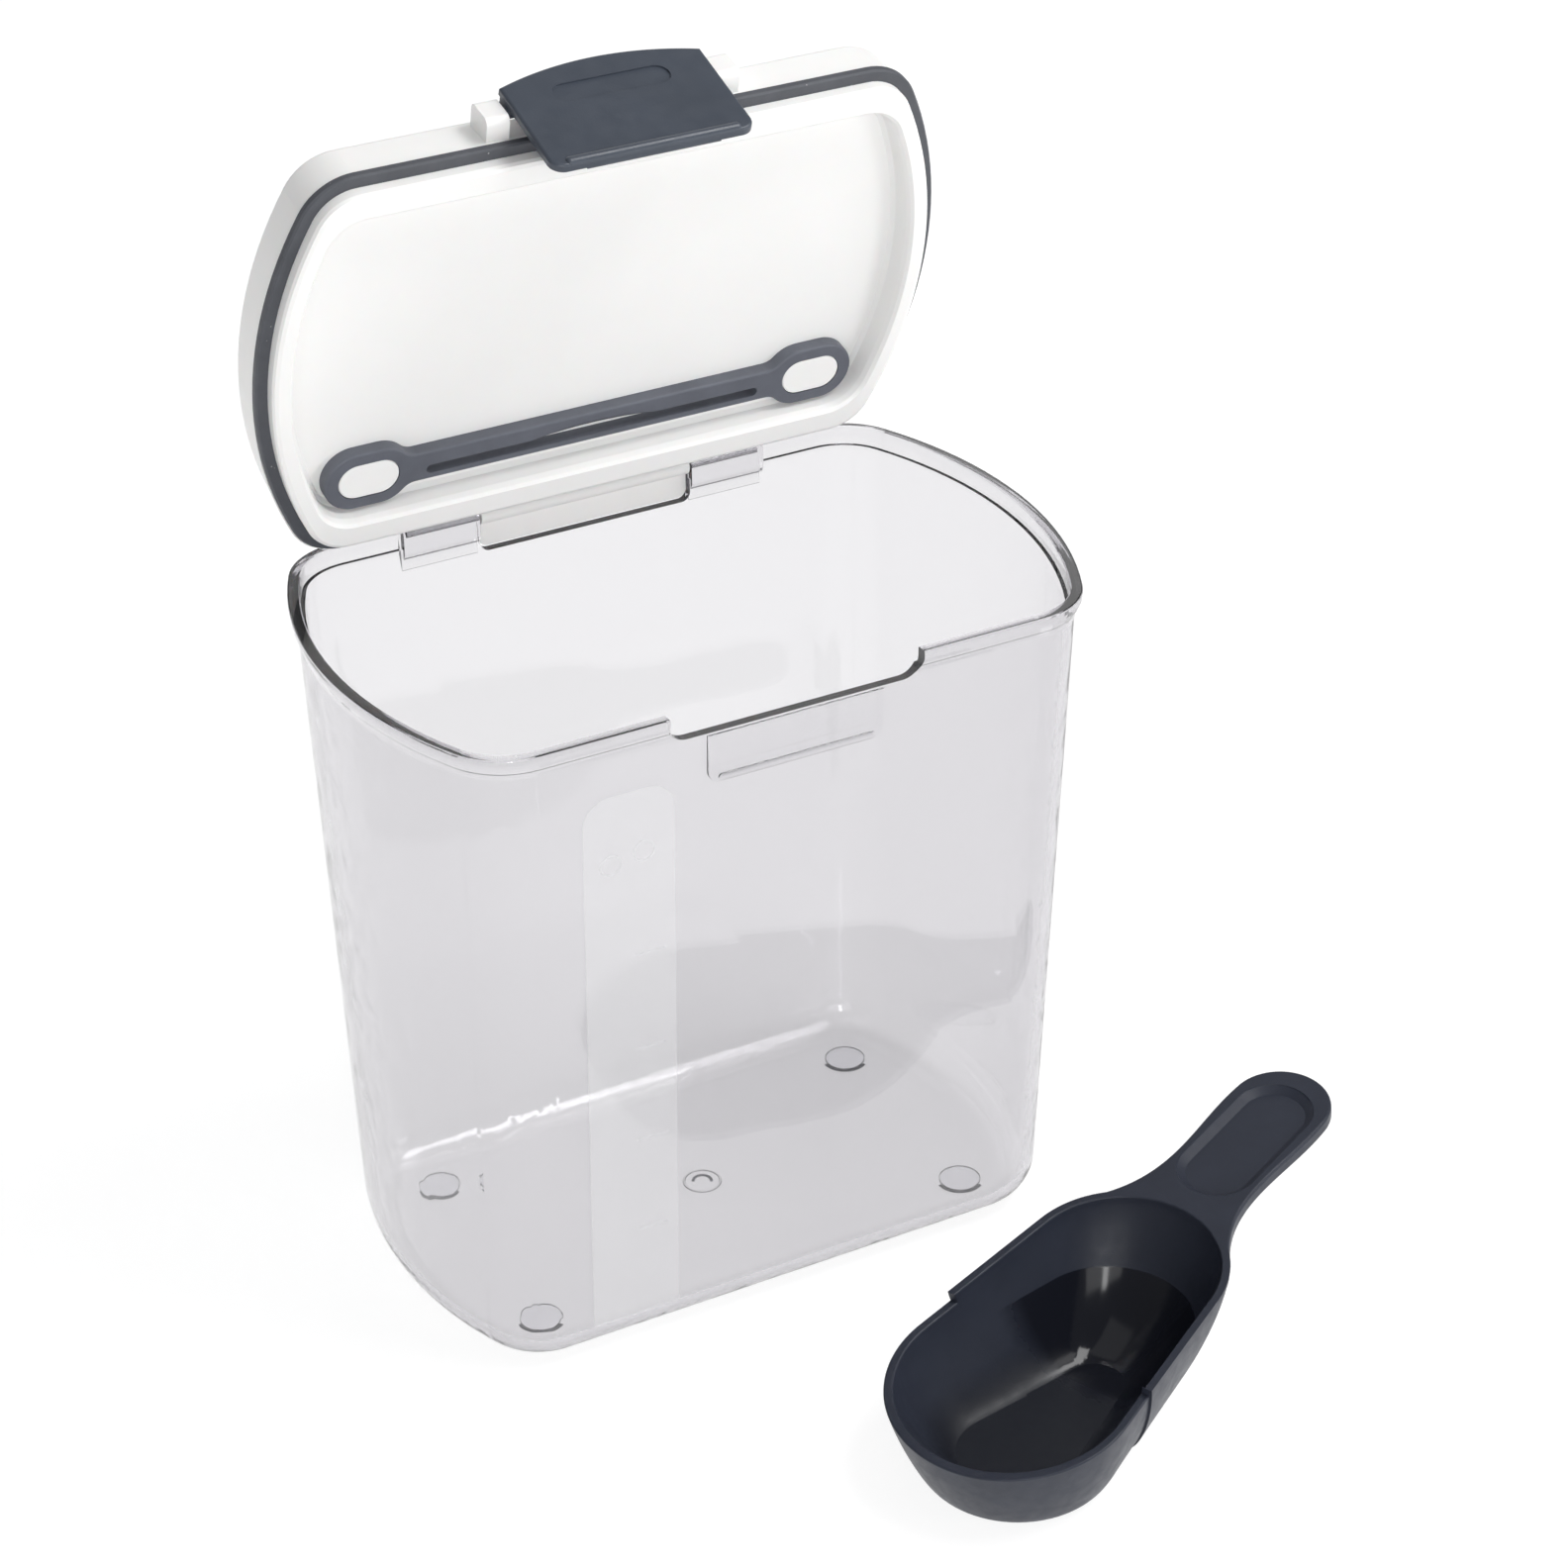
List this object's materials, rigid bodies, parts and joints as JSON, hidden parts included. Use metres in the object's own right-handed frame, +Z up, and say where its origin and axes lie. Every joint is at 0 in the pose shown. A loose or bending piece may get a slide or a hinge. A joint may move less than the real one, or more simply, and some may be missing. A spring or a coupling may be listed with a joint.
{
  "type": "pet food bin",
  "caption": "Clear tapered storage bin with a hinged white snap lid, front latch, inner seal and scoop strap, and a loose measuring scoop",
  "frame": {"origin": "Middle of the base, on the surface the bin stands on.", "axes": "+Z up, +Y towards the hinge at the back, -Y towards the latch side at the front, +X to the right seen from the front. The lid stands open."},
  "size_m": [0.2651, 0.2718, 0.3509],
  "materials": {
    "clear_plastic": "clear gloss plastic",
    "clear_pad": "clear soft gloss",
    "pin_steel": "brushed",
    "frosted_film": "frosted",
    "lid_white": "satin",
    "liner_white": "satin",
    "seal_dark": "matte",
    "strap_grey": "matte",
    "latch_pin_steel": "brushed",
    "latch_blue_grey": "satin",
    "scoop_navy": "gloss inside, satin outside"
  },
  "bodies": {
    "tub": {"bin_body": "clear_plastic", "foot_pads": "clear_pad", "hinge_pins": "pin_steel", "level_strip": "frosted_film"},
    "lid": {"lid_cover": "lid_white", "lid_liner": "liner_white", "lid_gasket": "seal_dark", "scoop_strap": "strap_grey", "latch_pin": "latch_pin_steel"},
    "latch_flap": {"latch": "latch_blue_grey"},
    "scoop": {"scoop": "scoop_navy"}
  },
  "joints": [
    {"name": "lid_hinge", "type": "hinge", "parent": "tub", "child": "lid", "pos_m": [0, 0.0659, 0.21094], "axis": [-1, 0, 0], "range_deg": [-76.8, 20]},
    {"name": "latch_hinge", "type": "hinge", "parent": "lid", "child": "latch_flap", "pos_m": [0, 0.04232, 0.34325], "axis": [-1, 0, 0], "range_deg": [-1.6, 95]},
    {"name": "scoop_lift", "type": "slide", "parent": "tub", "child": "scoop", "axis": [0, 0, 1], "range_m": [0, 0.25]}
  ]
}
